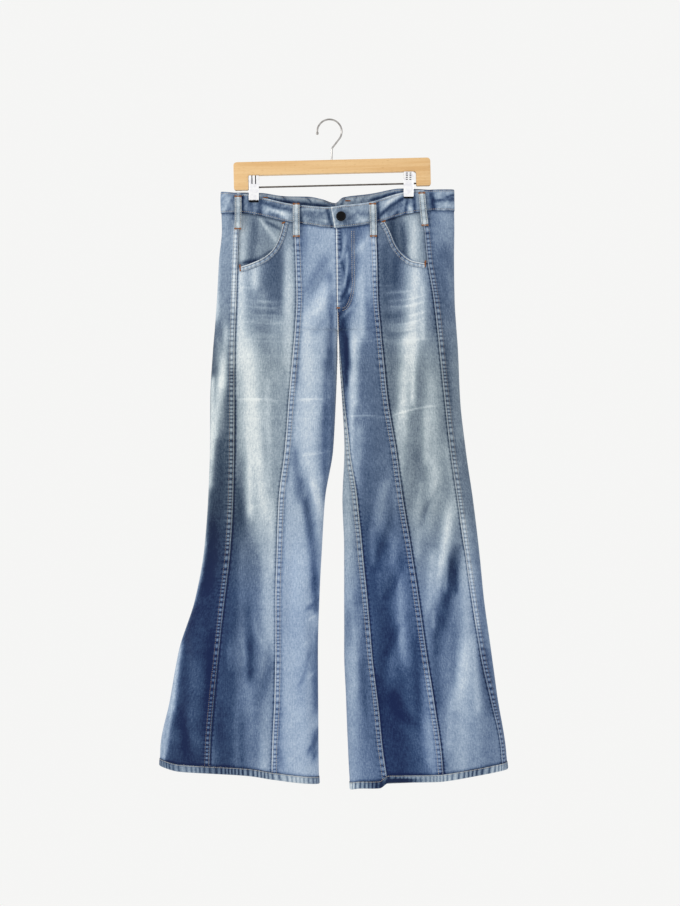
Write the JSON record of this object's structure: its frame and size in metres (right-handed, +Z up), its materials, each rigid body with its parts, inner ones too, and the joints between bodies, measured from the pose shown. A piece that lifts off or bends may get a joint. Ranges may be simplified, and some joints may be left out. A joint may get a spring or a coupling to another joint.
{
  "type": "flared jeans on a wooden clip hanger",
  "caption": "Faded blue denim jeans with wide flared legs and princess seams, hung flat by the waistband from a pale wooden hanger with sliding trouser clips.",
  "frame": {"origin": "inside top of the hanger's hook, where a rail carries it", "axes": "+Z up along the legs, -Y out of the garment's front, +X to the side of the fly's J stitch"},
  "size_m": [0.6229, 0.0661, 1.2066],
  "materials": {
    "denim": "washed cotton twill, matt",
    "denim_faded": "strongly faded cotton twill, matt",
    "denim_deep": "less faded cotton twill, matt",
    "button_black": "black lacquered, slightly worn",
    "beech": "clear satin lacquer",
    "wire": "plated wire",
    "rod_steel": "drawn wire, dull",
    "clip_steel": "bright plated sheet",
    "pad_rubber": "matt moulded"
  },
  "bodies": {
    "root": {"front_side_left": "denim", "front_side_right": "denim", "waistband_front_left": "denim", "waistband_front_right": "denim", "pocket_facing_left": "denim", "pocket_facing_right": "denim", "fly_facing": "denim", "front_centre_left": "denim_faded", "front_centre_right": "denim_faded", "pocket_edge_left": "denim_faded", "pocket_edge_right": "denim_faded", "hem_left": "denim_faded", "hem_right": "denim_faded", "loop_front_side_left": "denim_faded", "loop_front_left": "denim_faded", "loop_front_right": "denim_faded", "loop_front_side_right": "denim_faded", "loop_back_left": "denim_faded", "loop_back_centre": "denim_faded", "loop_back_right": "denim_faded", "back_left": "denim_deep", "back_right": "denim_deep", "waistband_back_left": "denim_deep", "waistband_back_right": "denim_deep", "button": "button_black", "hanger_wood": "beech", "hanger_hook": "wire", "hanger_rod": "rod_steel", "clip_left_spring": "rod_steel", "clip_right_spring": "rod_steel", "clip_left_jaw_front": "clip_steel", "clip_left_jaw_back": "clip_steel", "clip_right_jaw_front": "clip_steel", "clip_right_jaw_back": "clip_steel", "clip_left_pad_front": "pad_rubber", "clip_left_pad_back": "pad_rubber", "clip_right_pad_front": "pad_rubber", "clip_right_pad_back": "pad_rubber"}
  },
  "joints": []
}
